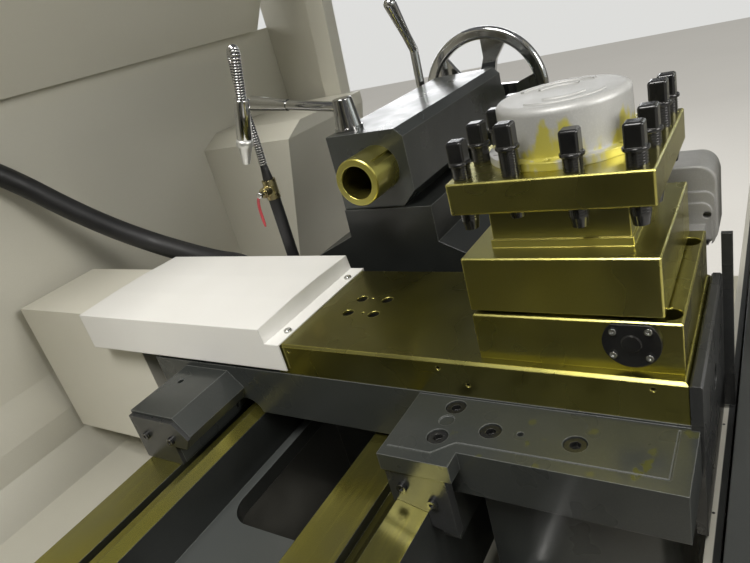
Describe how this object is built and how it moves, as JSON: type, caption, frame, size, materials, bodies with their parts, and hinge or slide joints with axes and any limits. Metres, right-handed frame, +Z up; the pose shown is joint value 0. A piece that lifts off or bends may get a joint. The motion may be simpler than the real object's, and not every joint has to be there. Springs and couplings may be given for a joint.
{
  "type": "flat-bed cnc turning lathe",
  "caption": "Flat-bed numerically controlled turning lathe with chuck, carriage, square indexing toolpost, tailstock and sheet-metal splash guard with sliding door",
  "frame": {"origin": "On the floor, under the middle of the whole outline", "axes": "+X runs along the bed from the headstock to the tailstock, +Y away from the operator, +Z up"},
  "size_m": [2.4, 1.45, 1.78],
  "materials": {
    "cast": "semi-gloss machine paint",
    "ground_steel": "ground, oiled",
    "plain_steel": "turned",
    "cream_paint": "satin powder coat",
    "white_paint": "satin powder coat",
    "dark_paint": "satin powder coat",
    "grey_paint": "satin powder coat",
    "cast_aluminium": "bead blasted",
    "black_oxide": "black oxide",
    "chrome": "polished",
    "brass": "cast",
    "red_plastic": "dipped",
    "green_plastic": "gloss",
    "black_rubber": "matt",
    "window": "clear"
  },
  "bodies": {
    "frame": {"headstock_cabinet": "grey_paint", "tailstock_cabinet": "grey_paint", "levelling_feet": "plain_steel", "coolant_tank": "grey_paint", "bed": "cast", "headstock": "cast", "spindle_bearings": "plain_steel", "main_motor": "cast", "pulley_cover": "cream_paint", "bed_screw_brackets": "cast", "bed_motor": "cast", "rear_guard": "cream_paint", "guard_posts": "cream_paint", "canopy": "cream_paint", "end_panel": "cream_paint", "corner_box": "cream_paint", "chip_tray": "cream_paint", "front_guard": "cream_paint", "control_panel": "cream_paint", "cable_conduit": "black_rubber", "drive_belt": "black_rubber"},
    "spindle": {"spindle": "plain_steel", "chuck_body": "plain_steel"},
    "jaw_1": {"chuck_jaw_1": "plain_steel"},
    "jaw_2": {"chuck_jaw_2": "plain_steel"},
    "jaw_3": {"chuck_jaw_3": "plain_steel"},
    "motor_shaft": {"motor_pulley": "plain_steel"},
    "door": {"sliding_door": "cream_paint", "door_window": "window"},
    "stop_mushroom": {"emergency_stop": "red_plastic"},
    "start_key": {"start_button": "green_plastic"},
    "carriage": {"saddle": "cast", "carriage_screws": "black_oxide", "way_wipers": "dark_paint", "apron": "cast", "front_plate": "dark_paint", "cross_motor": "cast", "motor_housing": "cream_paint", "coolant_hose": "black_rubber", "coolant_valve": "brass", "coolant_gooseneck": "chrome"},
    "coolant_tap": {"valve_lever": "red_plastic"},
    "cross_screw_shaft": {"cross_screw": "plain_steel"},
    "bed_screw_shaft": {"bed_screw": "plain_steel"},
    "slide": {"cross_slide": "ground_steel", "slide_cover": "white_paint", "slide_screws": "black_oxide", "turret_base": "ground_steel", "worm_cover": "black_oxide", "turret_motor": "cast_aluminium"},
    "toolpost": {"tool_block": "ground_steel", "clamp_screws": "black_oxide", "turret_cap": "cast_aluminium"},
    "tailstock": {"tailstock_base": "cast", "tailstock_body": "cast"},
    "quill_sleeve": {"quill": "ground_steel"},
    "wheel": {"quill_screw": "plain_steel", "handwheel": "chrome"},
    "quill_lock": {"quill_lock_lever": "chrome"},
    "bed_clamp": {"clamp_lever": "chrome"}
  },
  "joints": [
    {"name": "spindle_turn", "type": "hinge", "parent": "frame", "child": "spindle", "pos_m": [-0.8, -0.069, 1.073], "axis": [1, 0, 0], "continuous": true},
    {"name": "motor_turn", "type": "hinge", "parent": "frame", "child": "motor_shaft", "pos_m": [-1.045, -0.069, 0.21], "axis": [1, 0, 0], "continuous": true},
    {"name": "jaw_1_slide", "type": "slide", "parent": "spindle", "child": "jaw_1", "axis": [0, 0, 1], "range_m": [-0.012, 0.012]},
    {"name": "jaw_2_slide", "type": "slide", "parent": "spindle", "child": "jaw_2", "axis": [0, -0.866, -0.5], "range_m": [-0.012, 0.012]},
    {"name": "jaw_3_slide", "type": "slide", "parent": "spindle", "child": "jaw_3", "axis": [0, 0.866, -0.5], "range_m": [-0.012, 0.012]},
    {"name": "door_slide", "type": "slide", "parent": "frame", "child": "door", "axis": [1, 0, 0], "range_m": [-0.8, 0]},
    {"name": "stop_press", "type": "slide", "parent": "frame", "child": "stop_mushroom", "axis": [0, 1, 0], "range_m": [0, 0.005], "stiffness_N_per_m": 600},
    {"name": "start_press", "type": "slide", "parent": "frame", "child": "start_key", "axis": [0, 1, 0], "range_m": [0, 0.004], "stiffness_N_per_m": 400},
    {"name": "bed_screw_turn", "type": "hinge", "parent": "frame", "child": "bed_screw_shaft", "pos_m": [0.24, -0.36, 0.625], "axis": [1, 0, 0], "range_deg": [-27000, 2400]},
    {"name": "carriage_slide", "type": "slide", "parent": "frame", "child": "carriage", "axis": [1, 0, 0], "range_m": [-0.45, 0.04], "deforming": ["cable_conduit"]},
    {"name": "cross_screw_turn", "type": "hinge", "parent": "carriage", "child": "cross_screw_shaft", "pos_m": [0.25, -0.1, 0.862], "axis": [0, 1, 0], "range_deg": [0, 18000]},
    {"name": "cross_slide_move", "type": "slide", "parent": "carriage", "child": "slide", "axis": [0, 1, 0], "range_m": [0, 0.25]},
    {"name": "toolpost_index", "type": "hinge", "parent": "slide", "child": "toolpost", "pos_m": [0.25, -0.425, 1.06], "axis": [0, 0, 1], "continuous": true},
    {"name": "tap_turn", "type": "hinge", "parent": "carriage", "child": "coolant_tap", "pos_m": [0.37, 0.13, 1.067], "axis": [1, 0, 0], "range_deg": [0, 90]},
    {"name": "tailstock_slide", "type": "slide", "parent": "frame", "child": "tailstock", "axis": [1, 0, 0], "range_m": [0, 0.15]},
    {"name": "handwheel_turn", "type": "hinge", "parent": "tailstock", "child": "wheel", "pos_m": [0.92, -0.069, 1.073], "axis": [1, 0, 0], "range_deg": [0, 8640]},
    {"name": "quill_slide", "type": "slide", "parent": "tailstock", "child": "quill_sleeve", "axis": [-1, 0, 0], "range_m": [0, 0.12]},
    {"name": "quill_lock_turn", "type": "hinge", "parent": "tailstock", "child": "quill_lock", "pos_m": [0.48, -0.006, 1.15], "axis": [0, 0, 1], "range_deg": [-50, 12]},
    {"name": "bed_clamp_turn", "type": "hinge", "parent": "tailstock", "child": "bed_clamp", "pos_m": [0.849, 0.04, 1.073], "axis": [0, 1, 0], "range_deg": [-45, 20]}
  ],
  "couplings": [
    {"joint": "motor_turn", "follows": "spindle_turn", "ratio": 1.5},
    {"joint": "jaw_2_slide", "follows": "jaw_1_slide", "ratio": 1},
    {"joint": "jaw_3_slide", "follows": "jaw_1_slide", "ratio": 1},
    {"joint": "bed_screw_turn", "follows": "carriage_slide", "rad_per_m": 1047.2},
    {"joint": "cross_screw_turn", "follows": "cross_slide_move", "rad_per_m": 1256.6},
    {"joint": "quill_slide", "follows": "handwheel_turn", "m_per_rad": 0.00079577}
  ]
}
